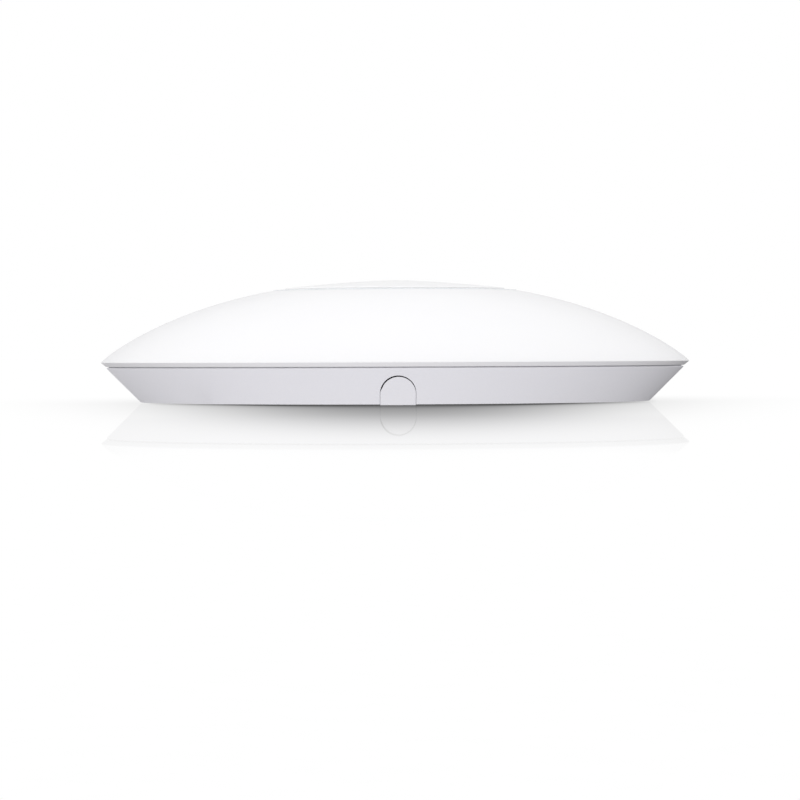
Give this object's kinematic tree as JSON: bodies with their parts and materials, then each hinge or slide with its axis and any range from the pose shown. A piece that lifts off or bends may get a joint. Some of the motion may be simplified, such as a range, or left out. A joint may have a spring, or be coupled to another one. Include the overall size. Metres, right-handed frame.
{
  "type": "ceiling access point",
  "caption": "Round low-domed wireless ceiling unit with a flat centre disc and light ring, an undercut base with an arched cable tab, and a twist-on ceiling bracket.",
  "frame": {"origin": "centre of the ceiling bracket's back face, which lies against the ceiling", "axes": "+Z from the ceiling to the crown of the dome, -Y towards the cable tab, +X to the right seen from the tab side with the dome up"},
  "size_m": [0.16, 0.16, 0.0331],
  "materials": {
    "cover_white": "fine satin moulded polycarbonate, white",
    "disc_white": "smooth satin white cap",
    "diffuser": "translucent milk-white light guide",
    "base_white": "fine satin moulded plastic, slightly cool white",
    "plunger_white": "white moulded pin",
    "bracket_white": "textured white moulded bracket",
    "board_green": "green solder mask over glass-epoxy board",
    "heat_aluminium": "brushed sheet aluminium",
    "can_aluminium": "drawn aluminium can",
    "tinplate": "satin tin-plated sheet steel",
    "screw_steel": "zinc-plated thread-forming screw",
    "contact_gold": "gold-flashed contact wire",
    "antenna_gold": "satin tinned-brass sheet antenna",
    "chip_black": "black moulded chip package",
    "jack_black": "black moulded jack insert",
    "ferrite_black": "dark grey ferrite and bobbin",
    "pad_grey": "soft grey-blue thermal pad",
    "led_clear": "clear chip light emitter"
  },
  "bodies": {
    "housing": {"dome_cover": "cover_white", "centre_disc": "disc_white", "light_ring": "diffuser", "base_shell": "base_white", "main_board": "board_green", "heat_plate": "heat_aluminium", "thermal_pad_cpu": "pad_grey", "thermal_pad_5g": "pad_grey", "thermal_pad_2g": "pad_grey", "cpu_shield_frame": "tinplate", "cpu_shield_lid": "tinplate", "radio_shield_frame_5g": "tinplate", "radio_shield_lid_5g": "tinplate", "radio_shield_frame_2g": "tinplate", "radio_shield_lid_2g": "tinplate", "cpu_chip": "chip_black", "memory_chip": "chip_black", "radio_chip_5g": "chip_black", "radio_chip_2g": "chip_black", "network_chip": "chip_black", "power_chip": "chip_black", "jack_shell": "tinplate", "jack_insert": "jack_black", "jack_contacts": "contact_gold", "line_transformer": "chip_black", "power_transformer": "ferrite_black", "reset_switch": "jack_black", "bulk_capacitor_1": "can_aluminium", "bulk_capacitor_2": "can_aluminium", "power_inductor": "ferrite_black", "antenna_1": "antenna_gold", "status_led_1": "led_clear", "board_screw_1": "screw_steel", "antenna_2": "antenna_gold", "status_led_2": "led_clear", "board_screw_2": "screw_steel", "antenna_3": "antenna_gold", "status_led_3": "led_clear", "board_screw_3": "screw_steel", "antenna_4": "antenna_gold", "status_led_4": "led_clear", "board_screw_4": "screw_steel", "plate_screw_1": "screw_steel", "plate_screw_2": "screw_steel"},
    "bracket": {"ceiling_bracket": "bracket_white"},
    "latch": {"latch_finger": "bracket_white"},
    "cable_tab_body": {"cable_tab": "base_white"},
    "reset_pin": {"reset_plunger": "plunger_white"}
  },
  "joints": [
    {"name": "bracket_twist", "type": "hinge", "parent": "housing", "child": "bracket", "pos_m": [0, 0, 0.003], "axis": [0, 0, 1], "range_deg": [-18, 0]},
    {"name": "latch_flex", "type": "hinge", "parent": "bracket", "child": "latch", "pos_m": [0.01166, 0.05784, 0.0015], "axis": [0, 0, 1], "range_deg": [0, 3.3]},
    {"name": "cable_tab_slide", "type": "slide", "parent": "housing", "child": "cable_tab_body", "axis": [0, -1, 0], "range_m": [0, 0.012]},
    {"name": "reset_press", "type": "slide", "parent": "housing", "child": "reset_pin", "axis": [0, 0, 1], "range_m": [0, 0.0007]}
  ],
  "couplings": [
    {"joint": "latch_flex", "follows": "bracket_twist", "ratio": -0.18}
  ]
}
